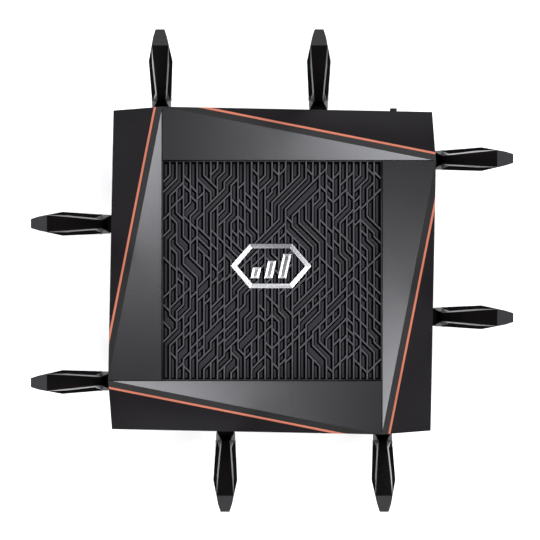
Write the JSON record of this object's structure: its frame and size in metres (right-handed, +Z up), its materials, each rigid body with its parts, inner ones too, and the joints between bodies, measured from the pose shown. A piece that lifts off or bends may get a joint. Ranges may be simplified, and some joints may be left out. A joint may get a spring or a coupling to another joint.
{
  "type": "wireless router",
  "caption": "Square desktop wireless router with a faceted top, patterned square grille, copper trim lines and tilting blade antennas around all sides.",
  "frame": {"origin": "on the desk under the middle of the body, at the bottom of the feet", "axes": "+Z up, +Y towards the rear side with the ports, +X to the right seen from the front"},
  "size_m": [0.349, 0.349, 0.199],
  "materials": {
    "satin_black_shell": "satin, faceted",
    "textured_black_shell": "fine moulded texture",
    "grille_black": "moulded relief",
    "chrome": "polished",
    "circuit_board": "solder mask",
    "copper": "satin copper",
    "light_pipe": "frosted",
    "foot_rubber": "matte",
    "screw_steel": "zinc",
    "label_grey": "blank printed film",
    "shield_steel": "tinned",
    "thermal_pad": "soft",
    "heat_sink_aluminium": "extruded",
    "port_plastic": "moulded",
    "connector_brass": "turned",
    "antenna_gloss": "piano black",
    "lead_jacket": "extruded",
    "button_black": "fine",
    "radiator_brass": "plain"
  },
  "bodies": {
    "router": {"top_cover": "satin_black_shell", "lower_housing": "textured_black_shell", "top_grille": "grille_black", "emblem": "chrome", "emblem_light_board": "circuit_board", "accent_trims": "copper", "side_vents": "textured_black_shell", "base_vent": "textured_black_shell", "front_light_pipe": "light_pipe", "status_light_board": "circuit_board", "rubber_feet": "foot_rubber", "case_screws": "screw_steel", "rating_plate": "label_grey", "main_board": "circuit_board", "shield_cans": "shield_steel", "thermal_pads": "thermal_pad", "heat_sinks": "heat_sink_aluminium", "ethernet_jacks": "port_plastic", "usb_ports": "port_plastic", "power_inlet": "port_plastic", "antenna_connectors": "connector_brass", "antenna_nuts": "antenna_gloss", "antenna_leads": "lead_jacket"},
    "power_button": {"power_button": "button_black"},
    "reset_button": {"reset_button": "button_black"},
    "wps_button": {"wps_button": "button_black"},
    "wifi_button": {"wifi_button": "button_black"},
    "boost_key": {"boost_key": "button_black"},
    "antenna_1_swivel_base": {"antenna_1_knuckle": "antenna_gloss", "antenna_1_hinge_pin": "screw_steel"},
    "antenna_1_mast": {"antenna_1_blade": "antenna_gloss", "antenna_1_radiator": "radiator_brass"},
    "antenna_2_swivel_base": {"antenna_2_knuckle": "antenna_gloss", "antenna_2_hinge_pin": "screw_steel"},
    "antenna_2_mast": {"antenna_2_blade": "antenna_gloss", "antenna_2_radiator": "radiator_brass"},
    "antenna_3_swivel_base": {"antenna_3_knuckle": "antenna_gloss", "antenna_3_hinge_pin": "screw_steel"},
    "antenna_3_mast": {"antenna_3_blade": "antenna_gloss", "antenna_3_radiator": "radiator_brass"},
    "antenna_4_swivel_base": {"antenna_4_knuckle": "antenna_gloss", "antenna_4_hinge_pin": "screw_steel"},
    "antenna_4_mast": {"antenna_4_blade": "antenna_gloss", "antenna_4_radiator": "radiator_brass"},
    "antenna_5_swivel_base": {"antenna_5_knuckle": "antenna_gloss", "antenna_5_hinge_pin": "screw_steel"},
    "antenna_5_mast": {"antenna_5_blade": "antenna_gloss", "antenna_5_radiator": "radiator_brass"},
    "antenna_6_swivel_base": {"antenna_6_knuckle": "antenna_gloss", "antenna_6_hinge_pin": "screw_steel"},
    "antenna_6_mast": {"antenna_6_blade": "antenna_gloss", "antenna_6_radiator": "radiator_brass"},
    "antenna_7_swivel_base": {"antenna_7_knuckle": "antenna_gloss", "antenna_7_hinge_pin": "screw_steel"},
    "antenna_7_mast": {"antenna_7_blade": "antenna_gloss", "antenna_7_radiator": "radiator_brass"},
    "antenna_8_swivel_base": {"antenna_8_knuckle": "antenna_gloss", "antenna_8_hinge_pin": "screw_steel"},
    "antenna_8_mast": {"antenna_8_blade": "antenna_gloss", "antenna_8_radiator": "radiator_brass"}
  },
  "joints": [
    {"name": "power_button_press", "type": "slide", "parent": "router", "child": "power_button", "axis": [0, -1, 0], "range_m": [0, 0.0025], "stiffness_N_per_m": 500, "springref_m": -0.0008},
    {"name": "reset_button_press", "type": "slide", "parent": "router", "child": "reset_button", "axis": [0, -1, 0], "range_m": [0, 0.0008], "stiffness_N_per_m": 400, "springref_m": -0.0008},
    {"name": "wps_button_press", "type": "slide", "parent": "router", "child": "wps_button", "axis": [0, -1, 0], "range_m": [0, 0.001], "stiffness_N_per_m": 400, "springref_m": -0.0008},
    {"name": "wifi_button_press", "type": "slide", "parent": "router", "child": "wifi_button", "axis": [0, -1, 0], "range_m": [0, 0.001], "stiffness_N_per_m": 400, "springref_m": -0.0008},
    {"name": "boost_key_press", "type": "slide", "parent": "router", "child": "boost_key", "axis": [0, -1, 0], "range_m": [0, 0.001], "stiffness_N_per_m": 400, "springref_m": -0.0008},
    {"name": "antenna_1_swivel", "type": "hinge", "parent": "router", "child": "antenna_1_swivel_base", "pos_m": [-0.081, 0.1085, 0.041], "axis": [0, 1, 0], "range_deg": [-90, 35]},
    {"name": "antenna_1_tilt", "type": "hinge", "parent": "antenna_1_swivel_base", "child": "antenna_1_mast", "pos_m": [-0.081, 0.1265, 0.041], "axis": [-1, 0, 0], "range_deg": [-15, 75]},
    {"name": "antenna_2_swivel", "type": "hinge", "parent": "router", "child": "antenna_2_swivel_base", "pos_m": [0.034, 0.1085, 0.041], "axis": [0, 1, 0], "range_deg": [-35, 90]},
    {"name": "antenna_2_tilt", "type": "hinge", "parent": "antenna_2_swivel_base", "child": "antenna_2_mast", "pos_m": [0.034, 0.1265, 0.041], "axis": [-1, 0, 0], "range_deg": [-15, 75]},
    {"name": "antenna_3_swivel", "type": "hinge", "parent": "router", "child": "antenna_3_swivel_base", "pos_m": [0.1085, 0.081, 0.041], "axis": [1, 0, 0], "range_deg": [-90, 35]},
    {"name": "antenna_3_tilt", "type": "hinge", "parent": "antenna_3_swivel_base", "child": "antenna_3_mast", "pos_m": [0.1265, 0.081, 0.041], "axis": [0, 1, 0], "range_deg": [-15, 75]},
    {"name": "antenna_4_swivel", "type": "hinge", "parent": "router", "child": "antenna_4_swivel_base", "pos_m": [0.1085, -0.034, 0.041], "axis": [1, 0, 0], "range_deg": [-35, 90]},
    {"name": "antenna_4_tilt", "type": "hinge", "parent": "antenna_4_swivel_base", "child": "antenna_4_mast", "pos_m": [0.1265, -0.034, 0.041], "axis": [0, 1, 0], "range_deg": [-15, 75]},
    {"name": "antenna_5_swivel", "type": "hinge", "parent": "router", "child": "antenna_5_swivel_base", "pos_m": [0.081, -0.1085, 0.041], "axis": [0, -1, 0], "range_deg": [-90, 35]},
    {"name": "antenna_5_tilt", "type": "hinge", "parent": "antenna_5_swivel_base", "child": "antenna_5_mast", "pos_m": [0.081, -0.1265, 0.041], "axis": [1, 0, 0], "range_deg": [-15, 75]},
    {"name": "antenna_6_swivel", "type": "hinge", "parent": "router", "child": "antenna_6_swivel_base", "pos_m": [-0.034, -0.1085, 0.041], "axis": [0, -1, 0], "range_deg": [-35, 90]},
    {"name": "antenna_6_tilt", "type": "hinge", "parent": "antenna_6_swivel_base", "child": "antenna_6_mast", "pos_m": [-0.034, -0.1265, 0.041], "axis": [1, 0, 0], "range_deg": [-15, 75]},
    {"name": "antenna_7_swivel", "type": "hinge", "parent": "router", "child": "antenna_7_swivel_base", "pos_m": [-0.1085, -0.081, 0.041], "axis": [-1, 0, 0], "range_deg": [-90, 35]},
    {"name": "antenna_7_tilt", "type": "hinge", "parent": "antenna_7_swivel_base", "child": "antenna_7_mast", "pos_m": [-0.1265, -0.081, 0.041], "axis": [0, -1, 0], "range_deg": [-15, 75]},
    {"name": "antenna_8_swivel", "type": "hinge", "parent": "router", "child": "antenna_8_swivel_base", "pos_m": [-0.1085, 0.034, 0.041], "axis": [-1, 0, 0], "range_deg": [-35, 90]},
    {"name": "antenna_8_tilt", "type": "hinge", "parent": "antenna_8_swivel_base", "child": "antenna_8_mast", "pos_m": [-0.1265, 0.034, 0.041], "axis": [0, -1, 0], "range_deg": [-15, 75]}
  ]
}
